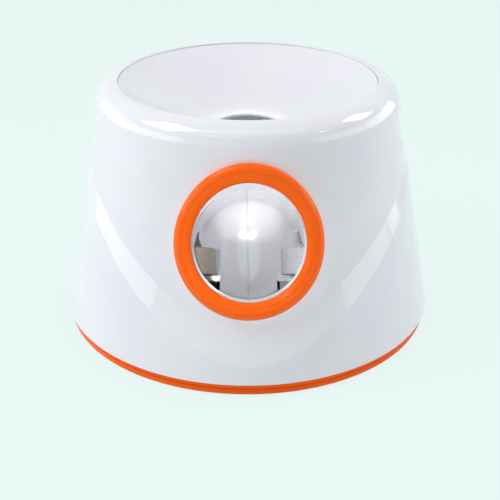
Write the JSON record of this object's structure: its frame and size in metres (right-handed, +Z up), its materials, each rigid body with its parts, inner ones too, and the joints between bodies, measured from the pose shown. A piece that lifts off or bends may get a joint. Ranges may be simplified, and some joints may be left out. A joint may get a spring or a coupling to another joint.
{
  "type": "automatic dog ball launcher",
  "caption": "Round automatic dog ball launcher: funnel hopper, inclined chute with counter-rotating rubber flywheels on motors, orange-ringed launch port, battery base and rear control panel.",
  "frame": {"origin": "centre of the footprint on the floor, at the underside of the rubber feet", "axes": "+Z up out of the funnel; the launch port faces -Y and throws along -Y and up; +X is the right-hand side seen from the front"},
  "size_m": [0.3, 0.3, 0.1945],
  "materials": {
    "white_shell": "gloss white ABS",
    "chute_plastic": "gloss off-white ABS",
    "orange_trim": "gloss orange ABS",
    "grey_plastic": "fine texture",
    "black_rubber": "matt",
    "screw_steel": "zinc plated",
    "wheel_plastic": "moulded nylon",
    "tyre_rubber": "satin grey polyurethane",
    "motor_steel": "nickel plated steel",
    "motor_cap_plastic": "black nylon",
    "sensor_plastic": "light grey",
    "cell_wrap": "plain shrink wrap",
    "contact_metal": "nickel plated",
    "circuit_board": "green solder mask",
    "orange_button": "gloss orange",
    "lamp_lens": "clear light pipe"
  },
  "bodies": {
    "housing": {"housing_shell": "white_shell", "funnel": "white_shell", "port_ring": "orange_trim", "base_ring": "orange_trim", "base_plate": "grey_plastic", "rubber_feet": "black_rubber", "housing_screws": "screw_steel", "chute_left": "chute_plastic", "chute_right": "chute_plastic", "motor_can_left": "motor_steel", "motor_can_right": "motor_steel", "motor_end_cap_left": "motor_cap_plastic", "motor_end_cap_right": "motor_cap_plastic", "ball_sensor_emitter": "sensor_plastic", "ball_sensor_receiver": "sensor_plastic", "motor_screws": "screw_steel", "chute_seam_screws": "screw_steel", "chute_leg_screws": "screw_steel", "battery_tray": "grey_plastic", "tray_screws": "screw_steel", "battery_cells": "cell_wrap", "battery_contacts": "contact_metal", "battery_springs": "contact_metal", "control_board": "circuit_board", "board_parts": "motor_cap_plastic", "board_screws": "screw_steel", "beeper": "motor_cap_plastic", "control_panel": "grey_plastic", "status_lights": "lamp_lens", "switch_board": "circuit_board", "switch_board_screws": "screw_steel", "dc_socket": "motor_cap_plastic"},
    "left_flywheel": {"flywheel_hub_left": "wheel_plastic", "flywheel_tyre_left": "tyre_rubber", "motor_rotor_left": "motor_steel"},
    "right_flywheel": {"flywheel_hub_right": "wheel_plastic", "flywheel_tyre_right": "tyre_rubber", "motor_rotor_right": "motor_steel"},
    "power_button": {"power_button": "orange_button"},
    "distance_button": {"distance_button": "orange_button"},
    "battery_door": {"battery_door": "grey_plastic", "battery_door_screw": "screw_steel"}
  },
  "joints": [
    {"name": "left_flywheel_spin", "type": "hinge", "parent": "housing", "child": "left_flywheel", "pos_m": [-0.0513, -0.08232, 0.07667], "axis": [0, 0.5, 0.866], "continuous": true},
    {"name": "right_flywheel_spin", "type": "hinge", "parent": "housing", "child": "right_flywheel", "pos_m": [0.0513, -0.08232, 0.07667], "axis": [0, 0.5, 0.866], "continuous": true},
    {"name": "power_button_press", "type": "slide", "parent": "housing", "child": "power_button", "axis": [0, -0.9882, -0.153], "range_m": [0, 0.001], "stiffness_N_per_m": 600, "springref_m": -0.001},
    {"name": "distance_button_press", "type": "slide", "parent": "housing", "child": "distance_button", "axis": [0, -0.9882, -0.153], "range_m": [0, 0.001], "stiffness_N_per_m": 600, "springref_m": -0.001},
    {"name": "battery_door_hinge", "type": "hinge", "parent": "housing", "child": "battery_door", "pos_m": [0, 0.0295, 0.00325], "axis": [-1, 0, 0], "range_deg": [0, 80]}
  ],
  "couplings": [
    {"joint": "right_flywheel_spin", "follows": "left_flywheel_spin", "ratio": -1}
  ]
}
